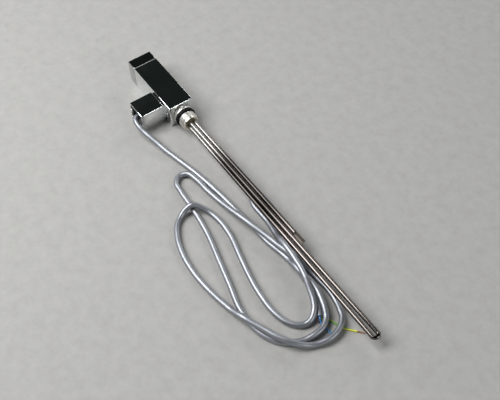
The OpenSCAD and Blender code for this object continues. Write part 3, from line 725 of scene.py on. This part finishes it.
for v in body.data.vertices:
    reach = math.hypot(v.co.y, v.co.z - AXIS_Z * MM)
    if COLLAR_X0 < v.co.x / MM < COLLAR_X1 and reach > (COLLAR_R - 0.4) * MM:
        ridge = round(math.atan2(v.co.z - AXIS_Z * MM, v.co.y) / (2 * math.pi) * NIPPLE_SIDES) % 2
        shrink = 1 - ridge * KNURL_DEPTH / COLLAR_R
        v.co.y *= shrink
        v.co.z = AXIS_Z * MM + (v.co.z - AXIS_Z * MM) * shrink


def thread_coil():
    """Helical ridge of the pipe thread, one profile turned with the pitch."""
    mesh = bpy.data.meshes.new("thread")
    crest = THREAD_R - 0.02
    half = THREAD_PITCH / 2
    shape = [(-half, ROOT_R), (-half * 0.62, ROOT_R + 0.12), (-half * 0.16, crest), (half * 0.16, crest),
             (half * 0.62, ROOT_R + 0.12), (half, ROOT_R)]
    start = GASKET_X1 + 1.1
    verts = [((start + x) * MM, r * MM, 0.0) for x, r in shape]
    mesh.from_pydata(verts, [(i, i + 1) for i in range(len(verts) - 1)], [])
    obj = bpy.data.objects.new("thread", mesh)
    bpy.context.scene.collection.objects.link(obj)
    coil = obj.modifiers.new("coil", "SCREW")
    coil.axis = "X"
    coil.angle = 2 * math.pi
    coil.screw_offset = THREAD_PITCH * MM
    coil.iterations = 5
    coil.steps = coil.render_steps = 72
    coil.use_merge_vertices = True
    coil.merge_threshold = 1e-6
    apply_modifiers(obj)
    select_only(obj)
    bpy.ops.object.mode_set(mode="EDIT")
    bpy.ops.mesh.select_all(action="SELECT")
    bpy.ops.mesh.normals_make_consistent(inside=False)
    leave_edit()
    obj.location = (0, 0, AXIS_Z * MM)
    return settle(obj, 50)


nipple = joined("nipple_body", [body, thread_coil()])
dress(nipple, brass, "element", "plated_brass", "nipple")

ring = turned("gasket_ring", soften([
    (FLANGE_X1, THREAD_R + 0.12), (FLANGE_X1, GASKET_R), (GASKET_X1, GASKET_R),
    (GASKET_X1, THREAD_R + 0.12)], 0.9, 6), (0, 0, AXIS_Z))
dress(ring, rubber, "element", "rubber_black", "gasket")

# ---------------------------------------------------------------- tubes
leg_a0, leg_a1 = Vector((LEG_ROOT_X, -1.6, 21.3)), Vector((BEND_X, BEND_Y + BEND_R, AXIS_Z))
leg_b0, leg_b1 = Vector((LEG_ROOT_X, -3.5, 14.9)), Vector((BEND_X, BEND_Y - BEND_R, AXIS_Z))
hairpin = [leg_a0.lerp(leg_a1, k / 14) for k in range(15)]
for k in range(1, 12):
    turn_angle = math.pi * k / 12
    hairpin.append(Vector((
        BEND_X + BEND_R * math.sin(turn_angle), BEND_Y + BEND_R * math.cos(turn_angle), AXIS_Z)))
hairpin += [leg_b1.lerp(leg_b0, k / 14) for k in range(15)]
heater = swept_mesh("heater_hairpin", hairpin, HEATER_R, 40)
dress(heater, tube_skin, "element", "tube_steel", "heater_tube")

sensor_line = [
    (LEG_ROOT_X, 5.05, 20.15), (120, 5.52, 20.46), (180, 5.97, 20.77), (235, 6.39, 21.03),
    (248, 6.49, 21.09), (252, 6.5, 21.1), (262, 6.53, 21.15), (290, 6.61, 21.26),
    (312, 6.68, 21.37), (320, TIP_Y, TIP_Z)]
probe = swept_mesh("sensor_probe", sensor_line, SENSOR_R, 40)
dress(probe, tube_skin, "element", "tube_steel", "sensor_tube")

tip = block("crimped_tip", (TIP_X0, TIP_Y - TIP_HALF_W, TIP_Z - TIP_HALF_H),
            (TIP_X1, TIP_Y + TIP_HALF_W, TIP_Z + TIP_HALF_H))
select_only(tip)
bpy.ops.object.mode_set(mode="EDIT")
bpy.ops.mesh.select_all(action="SELECT")
bpy.ops.mesh.subdivide(number_cuts=7)
leave_edit()
for v in tip.data.vertices:
    x, y, z = v.co / MM
    t = min(max((x - TIP_X0) / TIP_CONE, 0.0), 1.0)
    t = t * t * (3 - 2 * t)
    dy, dz = (y - TIP_Y) / TIP_HALF_W, (z - TIP_Z) / TIP_HALF_H
    ring_size = max(abs(dy), abs(dz))
    angle = math.atan2(dz, dy)
    wide = TIP_ROOT_R + TIP_WIDENING * t
    high = TIP_ROOT_R * (1 - t) + TIP_FLAT_HALF * t
    y_new = TIP_Y + math.cos(angle) * wide * ring_size
    z_new = TIP_Z + math.sin(angle) * high * ring_size + TIP_RISE * t
    v.co = Vector((x, y_new, z_new)) * MM
dress(settle(tip, 60), tip_painted_dark_reflection(), "element", "tip_dark", "sensor_tip")

# ---------------------------------------------------------------- inner pieces keep their solids
INNER = {
    "seam_ring": seam_plastic(),
    "socket_block": moulded,
    "tube_plate": braze(),
    "spigot_seal": rubber,
    "rear_potting": plain_inner("potting_resin", (0.6, 0.58, 0.5), (0.75, 0.73, 0.66), 300.0, 0.5),
    "heater_filling": plain_inner("packed_mineral", (0.8, 0.8, 0.77), (0.9, 0.9, 0.88), 900.0, 0.9),
    "heater_wire": plain_inner("resistance_wire", (0.25, 0.23, 0.2), (0.4, 0.37, 0.33), 800.0, 0.4, 1.0),
    "cold_pins": plain_inner("pin_metal", (0.5, 0.5, 0.48), (0.7, 0.7, 0.68), 800.0, 0.3, 1.0),
    "pin_beads": plain_inner("glazed_ceramic", (0.8, 0.79, 0.75), (0.9, 0.89, 0.86), 400.0, 0.15),
    "sensor_bead": plain_inner("bead_epoxy", (0.01, 0.01, 0.01), (0.04, 0.04, 0.04), 900.0, 0.3),
    "sensor_leads": plain_inner("white_lead", (0.7, 0.7, 0.67), (0.85, 0.85, 0.82), 900.0, 0.45),
    "board_carrier": plain_inner("carrier_plastic", (0.62, 0.62, 0.59), (0.74, 0.74, 0.71), 700.0, 0.5),
    "circuit_board": plain_inner("board_lacquer", (0.01, 0.12, 0.04), (0.02, 0.2, 0.07), 220.0, 0.3),
    "power_switch": plain_inner("switch_epoxy", (0.012, 0.012, 0.013), (0.03, 0.03, 0.03), 900.0, 0.5),
    "supply_capacitor": plain_inner("capacitor_sleeve", (0.01, 0.02, 0.12), (0.02, 0.04, 0.2), 500.0, 0.3),
    "thermal_fuse": plain_inner("fuse_coating", (0.5, 0.35, 0.22), (0.65, 0.48, 0.33), 600.0, 0.4),
    "terminal_block": plain_inner("terminal_plastic", (0.02, 0.16, 0.06), (0.04, 0.25, 0.1), 500.0, 0.4),
    "lead_connector": plain_inner("connector_plastic", (0.66, 0.64, 0.58), (0.78, 0.76, 0.7), 500.0, 0.45),
    "lead_bundle": plain_inner("red_lead", (0.35, 0.03, 0.02), (0.5, 0.06, 0.04), 700.0, 0.4),
    "cable_tails": plain_inner("tail_skin", (0.03, 0.16, 0.42), (0.05, 0.25, 0.6), 700.0, 0.4),
}
for node_name, material in INNER.items():
    solid = bpy.data.objects[node_name]
    solid.data.materials.clear()
    solid.data.materials.append(material)

# ---------------------------------------------------------------- floor and light
def floor_material():
    f = Finish("pale_floor", (0.41, 0.406, 0.395), 0.8)
    speck = f.noise(60.0, detail=8.0, rough=0.7)
    f.put("Base Color", f.ramp(speck, (0.3, (0.34, 0.336, 0.325)), (0.7, (0.4, 0.395, 0.383))))
    return f.material


clear_selection()
bpy.ops.mesh.primitive_plane_add(size=6.0, location=(0.2, 0.0, 0.0))
floor = bpy.context.object
floor.name = "studio_floor"
floor.data.materials.append(floor_material())


def softbox(name, place, aim, size, power, long_way=None):
    """Area light facing its aim, its first size laid along long_way where that is given."""
    data = bpy.data.lights.new(name, "AREA")
    data.shape = "RECTANGLE"
    data.size, data.size_y = size
    data.energy = power
    lamp = bpy.data.objects.new(name, data)
    bpy.context.scene.collection.objects.link(lamp)
    spot = Vector(place)
    back = (spot - Vector(aim)).normalized()
    side = Vector(long_way or (back.y, -back.x, 0.0))
    side = (side - back * side.dot(back)).normalized()
    turn = Matrix((side, back.cross(side), back)).transposed().to_4x4()
    lamp.matrix_world = Matrix.Translation(spot) @ turn


softbox("key_softbox", (-0.525, -0.82, 1.5), (0.25, -0.03, 0.0), (0.95, 1.5), 46.0, (1.0, 0.0, 0.0))
softbox("rear_softbox", (-0.45, 1.5, 1.1), (0.2, -0.03, 0.0), (1.5, 0.5), 8.0)
softbox("front_softbox", (1.65, 0.56, 0.86), (0.1, 0.0, 0.0), (0.8, 0.45), 7.0)

world = bpy.data.worlds.new("studio")
bpy.context.scene.world = world
world.use_nodes = True
nodes, links = world.node_tree.nodes, world.node_tree.links
coord, split = nodes.new("ShaderNodeTexCoord"), nodes.new("ShaderNodeSeparateXYZ")
fade = nodes.new("ShaderNodeValToRGB")
links.new(coord.outputs["Generated"], split.inputs[0])
links.new(split.outputs["Z"], fade.inputs["Fac"])
fade.color_ramp.elements[0].position = 0.16
fade.color_ramp.elements[0].color = (0.62, 0.64, 0.66, 1.0)
fade.color_ramp.elements[1].position = 0.5
fade.color_ramp.elements[1].color = (0.012, 0.015, 0.014, 1.0)
links.new(fade.outputs["Color"], nodes["Background"].inputs["Color"])
nodes["Background"].inputs["Strength"].default_value = 1.0
bpy.context.scene.view_settings.view_transform = "Standard"
